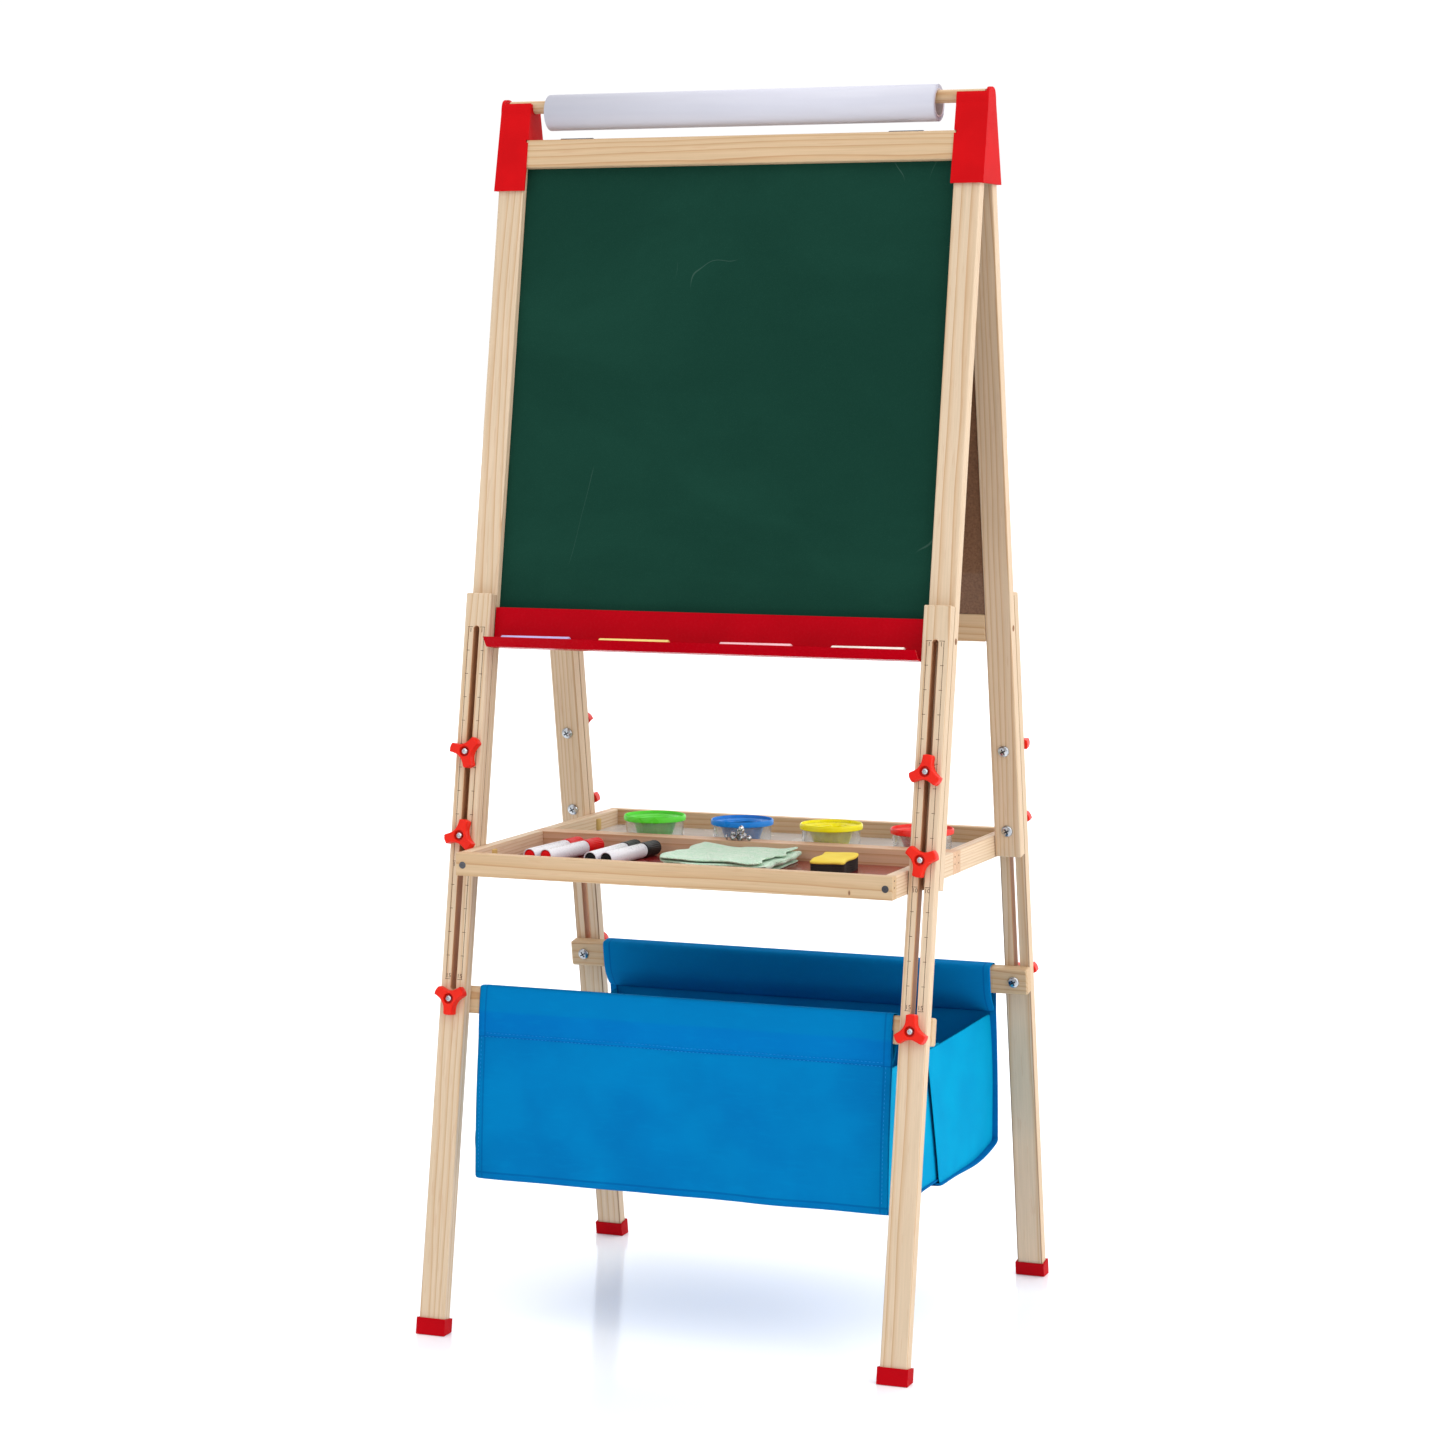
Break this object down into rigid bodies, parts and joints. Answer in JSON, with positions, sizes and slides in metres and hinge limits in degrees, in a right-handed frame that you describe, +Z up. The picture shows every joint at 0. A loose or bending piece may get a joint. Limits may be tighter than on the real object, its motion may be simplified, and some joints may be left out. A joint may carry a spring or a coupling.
{
  "type": "kids easel",
  "caption": "Double-sided wooden A-frame easel for children, with sliding lower legs on slotted bolts, star knobs, a paper roll, a two-box tray and a fabric bin.",
  "frame": {"origin": "on the floor, at the centre between the four feet", "axes": "+X to the right across the boards, +Y to the rear (whiteboard side), +Z up"},
  "size_m": [0.5604, 0.5004, 1.3268],
  "materials": {
    "pine": "satin clear lacquer",
    "chalkboard": "matt paint on hardboard",
    "whiteboard": "gloss white face on hardboard",
    "ledge_plastic": "gloss",
    "cap_plastic": "fine grain",
    "zinc_bolt": "bright zinc",
    "red_floor": "gloss",
    "frosted_floor": "frosted",
    "foot_rubber": "matt",
    "knob_plastic": "satin",
    "bin_fabric": "plain woven",
    "paper": "matt",
    "clip_steel": "dark"
  },
  "bodies": {
    "upper_frame": {"chalkboard": "chalkboard", "whiteboard": "whiteboard", "chalk_ledge": "ledge_plastic", "marker_ledge": "ledge_plastic", "end_cap_left": "cap_plastic", "end_cap_right": "cap_plastic", "front_stile_left": "pine", "front_stile_right": "pine", "front_top_rail": "pine", "front_bottom_rail": "pine", "front_bolt_upper_left": "zinc_bolt", "front_bolt_upper_right": "zinc_bolt", "front_bolt_lower_left": "zinc_bolt", "front_bolt_lower_right": "zinc_bolt", "front_box_outer_rail": "pine", "front_box_inner_rail": "pine", "front_box_side_left": "pine", "front_box_side_right": "pine", "front_box_floor": "red_floor", "rear_stile_left": "pine", "rear_stile_right": "pine", "rear_top_rail": "pine", "rear_bottom_rail": "pine", "rear_bolt_upper_left": "zinc_bolt", "rear_bolt_upper_right": "zinc_bolt", "rear_bolt_lower_left": "zinc_bolt", "rear_bolt_lower_right": "zinc_bolt", "rear_box_outer_rail": "pine", "rear_box_inner_rail": "pine", "rear_box_side_left": "pine", "rear_box_side_right": "pine", "rear_box_floor": "frosted_floor"},
    "front_legs": {"front_leg_left": "pine", "front_leg_right": "pine", "front_foot_left": "foot_rubber", "front_foot_right": "foot_rubber", "front_bin_rail": "pine", "fabric_bin": "bin_fabric"},
    "rear_legs": {"rear_leg_left": "pine", "rear_leg_right": "pine", "rear_foot_left": "foot_rubber", "rear_foot_right": "foot_rubber", "rear_bin_rail": "pine"},
    "front_knob_upper_left": {"front_knob_upper_left": "knob_plastic"},
    "front_knob_lower_left": {"front_knob_lower_left": "knob_plastic"},
    "front_knob_bin_left": {"front_knob_bin_left": "knob_plastic"},
    "front_knob_upper_right": {"front_knob_upper_right": "knob_plastic"},
    "front_knob_lower_right": {"front_knob_lower_right": "knob_plastic"},
    "front_knob_bin_right": {"front_knob_bin_right": "knob_plastic"},
    "rear_knob_upper_left": {"rear_knob_upper_left": "knob_plastic"},
    "rear_knob_lower_left": {"rear_knob_lower_left": "knob_plastic"},
    "rear_knob_bin_left": {"rear_knob_bin_left": "knob_plastic"},
    "rear_knob_upper_right": {"rear_knob_upper_right": "knob_plastic"},
    "rear_knob_lower_right": {"rear_knob_lower_right": "knob_plastic"},
    "rear_knob_bin_right": {"rear_knob_bin_right": "knob_plastic"},
    "roll_dowel": {"roll_dowel": "pine"},
    "paper_roll": {"paper_roll": "paper"},
    "paper_clip_left": {"paper_clip_left": "clip_steel"},
    "paper_clip_right": {"paper_clip_right": "clip_steel"}
  },
  "joints": [
    {"name": "front_leg_slide", "type": "slide", "parent": "upper_frame", "child": "front_legs", "axis": [0, -0.165, -0.9863], "range_m": [-0.114, 0.127], "deforming": ["fabric_bin"]},
    {"name": "rear_leg_slide", "type": "slide", "parent": "upper_frame", "child": "rear_legs", "axis": [0, 0.165, -0.9863], "range_m": [-0.114, 0.127]},
    {"name": "front_knob_upper_left_turn", "type": "hinge", "parent": "upper_frame", "child": "front_knob_upper_left", "pos_m": [-0.26125, -0.1508, 0.61841], "axis": [0, -0.9863, 0.165], "continuous": true},
    {"name": "front_knob_lower_left_turn", "type": "hinge", "parent": "upper_frame", "child": "front_knob_lower_left", "pos_m": [-0.26125, -0.16582, 0.52865], "axis": [0, -0.9863, 0.165], "continuous": true},
    {"name": "front_knob_bin_left_turn", "type": "hinge", "parent": "front_legs", "child": "front_knob_bin_left", "pos_m": [-0.26125, -0.19476, 0.35576], "axis": [0, -0.9863, 0.165], "continuous": true},
    {"name": "front_knob_upper_right_turn", "type": "hinge", "parent": "upper_frame", "child": "front_knob_upper_right", "pos_m": [0.26125, -0.1508, 0.61841], "axis": [0, -0.9863, 0.165], "continuous": true},
    {"name": "front_knob_lower_right_turn", "type": "hinge", "parent": "upper_frame", "child": "front_knob_lower_right", "pos_m": [0.26125, -0.16582, 0.52865], "axis": [0, -0.9863, 0.165], "continuous": true},
    {"name": "front_knob_bin_right_turn", "type": "hinge", "parent": "front_legs", "child": "front_knob_bin_right", "pos_m": [0.26125, -0.19476, 0.35576], "axis": [0, -0.9863, 0.165], "continuous": true},
    {"name": "rear_knob_upper_left_turn", "type": "hinge", "parent": "upper_frame", "child": "rear_knob_upper_left", "pos_m": [-0.26125, 0.1508, 0.61841], "axis": [0, 0.9863, 0.165], "continuous": true},
    {"name": "rear_knob_lower_left_turn", "type": "hinge", "parent": "upper_frame", "child": "rear_knob_lower_left", "pos_m": [-0.26125, 0.16582, 0.52865], "axis": [0, 0.9863, 0.165], "continuous": true},
    {"name": "rear_knob_bin_left_turn", "type": "hinge", "parent": "rear_legs", "child": "rear_knob_bin_left", "pos_m": [-0.26125, 0.19476, 0.35576], "axis": [0, 0.9863, 0.165], "continuous": true},
    {"name": "rear_knob_upper_right_turn", "type": "hinge", "parent": "upper_frame", "child": "rear_knob_upper_right", "pos_m": [0.26125, 0.1508, 0.61841], "axis": [0, 0.9863, 0.165], "continuous": true},
    {"name": "rear_knob_lower_right_turn", "type": "hinge", "parent": "upper_frame", "child": "rear_knob_lower_right", "pos_m": [0.26125, 0.16582, 0.52865], "axis": [0, 0.9863, 0.165], "continuous": true},
    {"name": "rear_knob_bin_right_turn", "type": "hinge", "parent": "rear_legs", "child": "rear_knob_bin_right", "pos_m": [0.26125, 0.19476, 0.35576], "axis": [0, 0.9863, 0.165], "continuous": true},
    {"name": "dowel_lift", "type": "slide", "parent": "upper_frame", "child": "roll_dowel", "axis": [0, 0, 1], "range_m": [0, 0.04]},
    {"name": "roll_turn", "type": "hinge", "parent": "roll_dowel", "child": "paper_roll", "pos_m": [0, 0, 1.30731], "axis": [1, 0, 0], "continuous": true},
    {"name": "paper_clip_left_squeeze", "type": "hinge", "parent": "upper_frame", "child": "paper_clip_left", "pos_m": [-0.208, 0.02532, 1.26466], "axis": [1, 0, 0], "range_deg": [0, 22], "stiffness_Nm_per_rad": 0.15, "springref_deg": -28.65},
    {"name": "paper_clip_right_squeeze", "type": "hinge", "parent": "upper_frame", "child": "paper_clip_right", "pos_m": [0.1745, 0.02532, 1.26466], "axis": [1, 0, 0], "range_deg": [0, 22], "stiffness_Nm_per_rad": 0.15, "springref_deg": -28.65}
  ],
  "couplings": [
    {"joint": "rear_leg_slide", "follows": "front_leg_slide", "ratio": 1}
  ]
}
